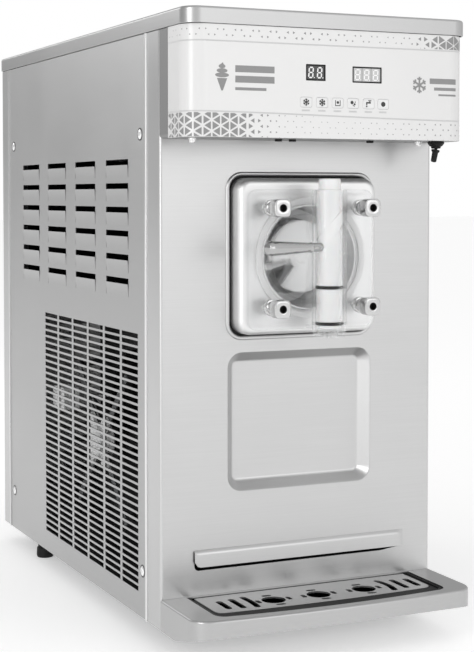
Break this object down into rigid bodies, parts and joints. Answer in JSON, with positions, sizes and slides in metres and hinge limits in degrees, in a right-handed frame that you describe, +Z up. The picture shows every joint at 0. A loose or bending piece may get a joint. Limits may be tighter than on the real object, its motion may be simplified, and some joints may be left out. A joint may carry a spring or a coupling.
{
  "type": "soft serve machine",
  "caption": "Counter-top machine that freezes ice cream mix in a horizontal cylinder and draws it through a lever valve into a cup.",
  "frame": {"origin": "under the middle of the machine, on the plane of the soles of its feet", "axes": "+X to the right as the user faces the machine, +Y from the front to the back, +Z up"},
  "size_m": [0.3632, 0.7646, 0.7621],
  "materials": {
    "casing": "fine brushed stainless sheet",
    "stainless": "satin stainless steel",
    "polished_steel": "polished stainless steel",
    "galvanised": "dull zinc-coated sheet",
    "grey_paint": "satin grey paint",
    "black_paint": "semi-gloss black paint",
    "cast_housing": "painted casting",
    "aluminium": "mill finish",
    "black_coil": "black-coated aluminium",
    "overlay": "smooth white printed film",
    "key": "matt grey",
    "display": "dark window",
    "display_light": "pale window",
    "clear_plastic": "clear moulded plastic",
    "white_plastic": "smooth food-grade plastic",
    "grey_plastic": "light grey moulded plastic",
    "black_plastic": "black moulded plastic",
    "rubber": "black rubber",
    "white_rubber": "white silicone rubber",
    "foam": "black insulating foam"
  },
  "bodies": {
    "cabinet": {"base_pan": "galvanised", "front_panel": "casing", "rear_panel": "casing", "left_panel": "casing", "right_panel": "casing", "top_cover": "casing", "front_left_post": "galvanised", "front_right_post": "galvanised", "rear_left_post": "galvanised", "rear_right_post": "galvanised", "front_left_foot": "rubber", "front_right_foot": "rubber", "rear_left_foot": "rubber", "rear_right_foot": "rubber", "hopper": "stainless", "feed_tube": "white_plastic", "freezing_cylinder": "stainless", "face_plate": "stainless", "cylinder_insulation": "foam", "door": "clear_plastic", "door_seal": "white_rubber", "star_nozzle": "clear_plastic", "shaft_seal": "rubber", "gearbox": "cast_housing", "drive_motor": "cast_housing", "drive_belt": "rubber", "compressor": "black_paint", "condenser": "black_coil", "fan_motor": "galvanised", "power_gland": "black_plastic", "head_housing": "grey_paint", "control_overlay": "overlay", "two_digit_display": "display", "three_digit_display": "display_light", "switch_body": "rubber", "drip_tray": "casing"},
    "hopper_cover": {"hopper_cover": "black_plastic"},
    "plunger": {"draw_piston": "white_plastic", "lower_o_ring": "rubber", "upper_o_ring": "rubber"},
    "handle": {"draw_handle": "polished_steel", "piston_head": "white_plastic"},
    "beater": {"beater": "white_plastic", "drive_shaft": "stainless"},
    "gearbox_pulley": {"gearbox_pulley": "aluminium"},
    "motor_pulley": {"motor_pulley": "aluminium"},
    "fan_blade": {"fan_blade": "black_plastic"},
    "switch_lever": {"switch_lever": "rubber"},
    "drip_pan": {"drip_pan": "black_plastic"},
    "drip_grid": {"drip_grid": "stainless"},
    "upper_left_screw": {"upper_left_hand_screw": "grey_plastic"},
    "upper_right_screw": {"upper_right_hand_screw": "grey_plastic"},
    "lower_left_screw": {"lower_left_hand_screw": "grey_plastic"},
    "lower_right_screw": {"lower_right_hand_screw": "grey_plastic"},
    "key_1": {"key_1": "key"},
    "key_2": {"key_2": "key"},
    "key_3": {"key_3": "key"},
    "key_4": {"key_4": "key"},
    "key_5": {"key_5": "key"},
    "key_6": {"key_6": "key"}
  },
  "joints": [
    {"name": "hopper_cover_lift", "type": "slide", "parent": "cabinet", "child": "hopper_cover", "axis": [0, 0, 1], "range_m": [0, 0.15]},
    {"name": "plunger_lift", "type": "slide", "parent": "cabinet", "child": "plunger", "axis": [0, 0, 1], "range_m": [0, 0.036]},
    {"name": "handle_turn", "type": "hinge", "parent": "plunger", "child": "handle", "pos_m": [0, -0.3424, 0.4694], "axis": [0, 0, 1], "range_deg": [0, 105]},
    {"name": "beater_spin", "type": "hinge", "parent": "cabinet", "child": "beater", "pos_m": [0, -0.1793, 0.456], "axis": [0, 1, 0], "continuous": true},
    {"name": "gearbox_pulley_spin", "type": "hinge", "parent": "cabinet", "child": "gearbox_pulley", "pos_m": [0, 0.0717, 0.456], "axis": [0, 1, 0], "continuous": true},
    {"name": "motor_pulley_spin", "type": "hinge", "parent": "cabinet", "child": "motor_pulley", "pos_m": [0.062, 0.0717, 0.278], "axis": [0, 1, 0], "continuous": true},
    {"name": "fan_spin", "type": "hinge", "parent": "cabinet", "child": "fan_blade", "pos_m": [-0.122, 0.0137, 0.204], "axis": [1, 0, 0], "continuous": true},
    {"name": "switch_toggle", "type": "hinge", "parent": "cabinet", "child": "switch_lever", "pos_m": [0.1515, -0.3268, 0.5842], "axis": [0, -1, 0], "range_deg": [0, 24]},
    {"name": "drip_pan_lift", "type": "slide", "parent": "cabinet", "child": "drip_pan", "axis": [0, 0, 1], "range_m": [0, 0.024]},
    {"name": "drip_grid_lift", "type": "slide", "parent": "drip_pan", "child": "drip_grid", "axis": [0, 0, 1], "range_m": [0, 0.008]},
    {"name": "upper_left_screw_turn", "type": "hinge", "parent": "cabinet", "child": "upper_left_screw", "pos_m": [-0.0582, -0.3233, 0.514], "axis": [0, -1, 0], "continuous": true},
    {"name": "upper_right_screw_turn", "type": "hinge", "parent": "cabinet", "child": "upper_right_screw", "pos_m": [0.0582, -0.3233, 0.514], "axis": [0, -1, 0], "continuous": true},
    {"name": "lower_left_screw_turn", "type": "hinge", "parent": "cabinet", "child": "lower_left_screw", "pos_m": [-0.0582, -0.3233, 0.3993], "axis": [0, -1, 0], "continuous": true},
    {"name": "lower_right_screw_turn", "type": "hinge", "parent": "cabinet", "child": "lower_right_screw", "pos_m": [0.0582, -0.3233, 0.3993], "axis": [0, -1, 0], "continuous": true},
    {"name": "key_1_press", "type": "slide", "parent": "cabinet", "child": "key_1", "axis": [0, 1, 0], "range_m": [0, 0.0005], "stiffness_N_per_m": 800},
    {"name": "key_2_press", "type": "slide", "parent": "cabinet", "child": "key_2", "axis": [0, 1, 0], "range_m": [0, 0.0005], "stiffness_N_per_m": 800},
    {"name": "key_3_press", "type": "slide", "parent": "cabinet", "child": "key_3", "axis": [0, 1, 0], "range_m": [0, 0.0005], "stiffness_N_per_m": 800},
    {"name": "key_4_press", "type": "slide", "parent": "cabinet", "child": "key_4", "axis": [0, 1, 0], "range_m": [0, 0.0005], "stiffness_N_per_m": 800},
    {"name": "key_5_press", "type": "slide", "parent": "cabinet", "child": "key_5", "axis": [0, 1, 0], "range_m": [0, 0.0005], "stiffness_N_per_m": 800},
    {"name": "key_6_press", "type": "slide", "parent": "cabinet", "child": "key_6", "axis": [0, 1, 0], "range_m": [0, 0.0005], "stiffness_N_per_m": 800}
  ],
  "couplings": [
    {"joint": "plunger_lift", "follows": "handle_turn", "m_per_rad": 0.01964},
    {"joint": "gearbox_pulley_spin", "follows": "beater_spin", "ratio": 6},
    {"joint": "motor_pulley_spin", "follows": "beater_spin", "ratio": 14.4}
  ]
}
